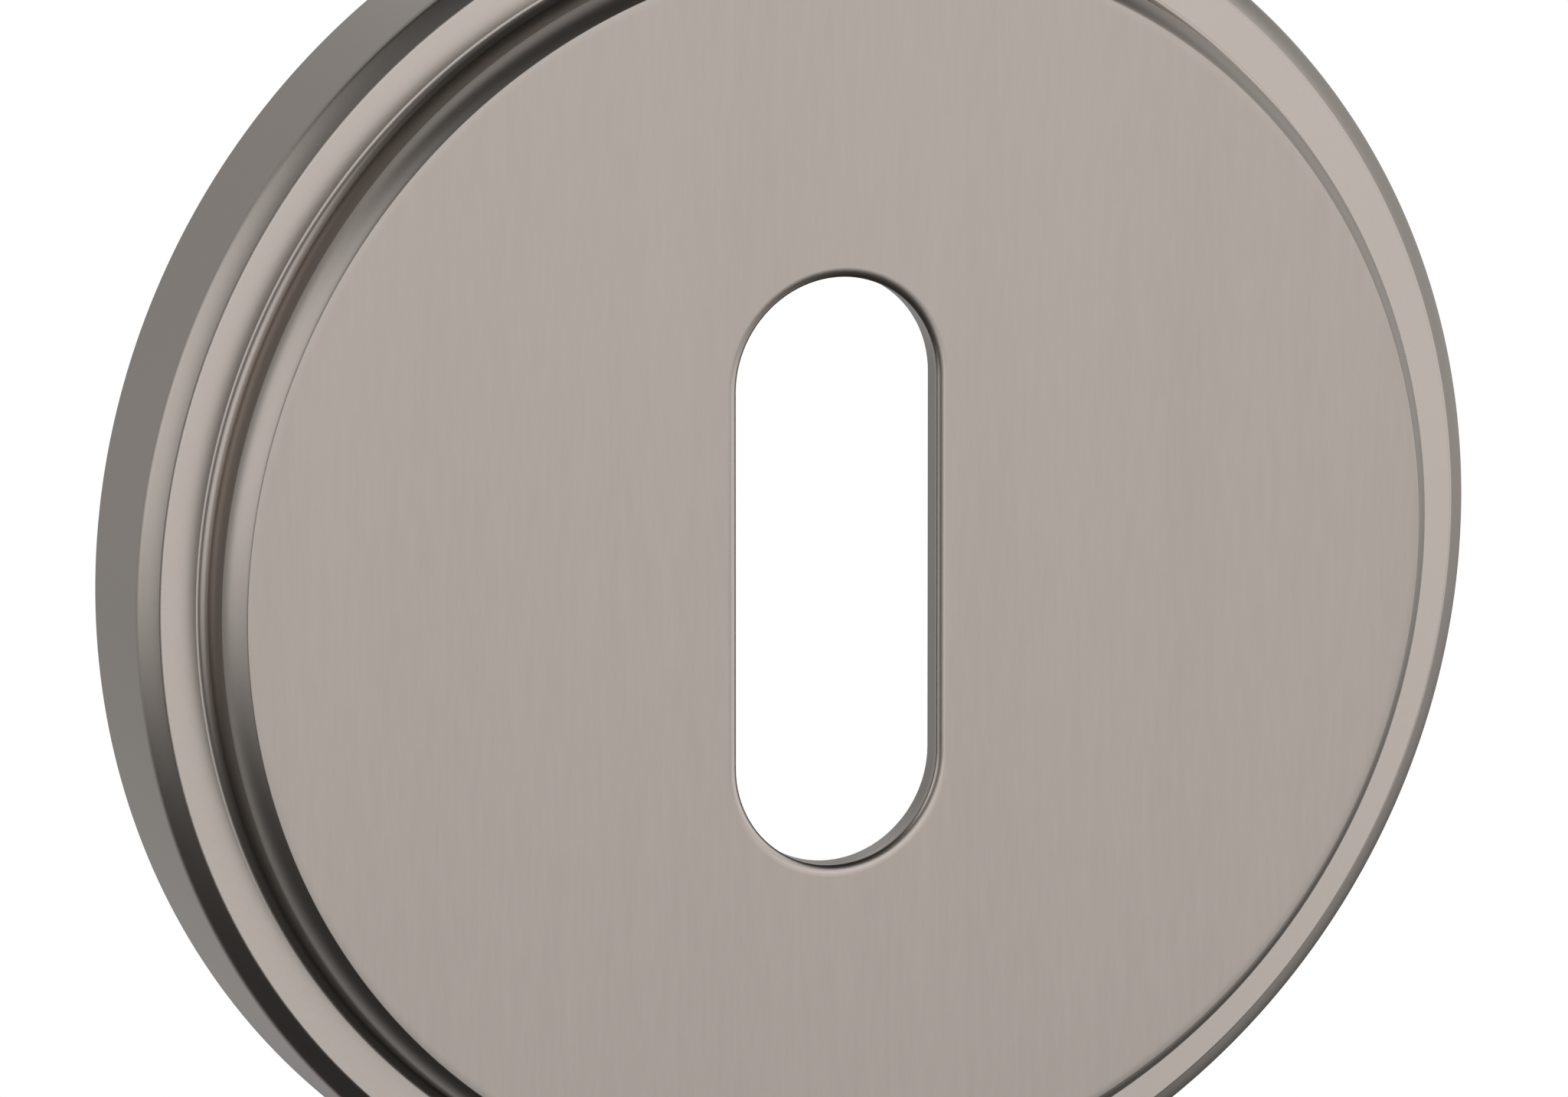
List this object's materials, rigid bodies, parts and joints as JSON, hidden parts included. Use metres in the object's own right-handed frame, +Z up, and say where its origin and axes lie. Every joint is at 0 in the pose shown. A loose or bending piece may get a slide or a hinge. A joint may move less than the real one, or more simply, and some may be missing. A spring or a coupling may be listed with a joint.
{
  "type": "door rosette",
  "caption": "Round keyhole rosette for a door: a stepped satin metal cover with an upright key slot, snapped on to a hidden screw-on base.",
  "frame": {"origin": "on the rosette's axis, in the plane of its back, where it meets the door", "axes": "+Z up along the key slot, +Y into the door, -Y out of the front of the disc"},
  "size_m": [0.052, 0.0072, 0.052],
  "materials": {
    "satin_nickel": "satin nickel plate, the front disc brushed up and down",
    "nylon": "moulded nylon"
  },
  "bodies": {
    "root": {"rosette_cover": "satin_nickel", "mounting_base": "nylon"}
  },
  "joints": []
}
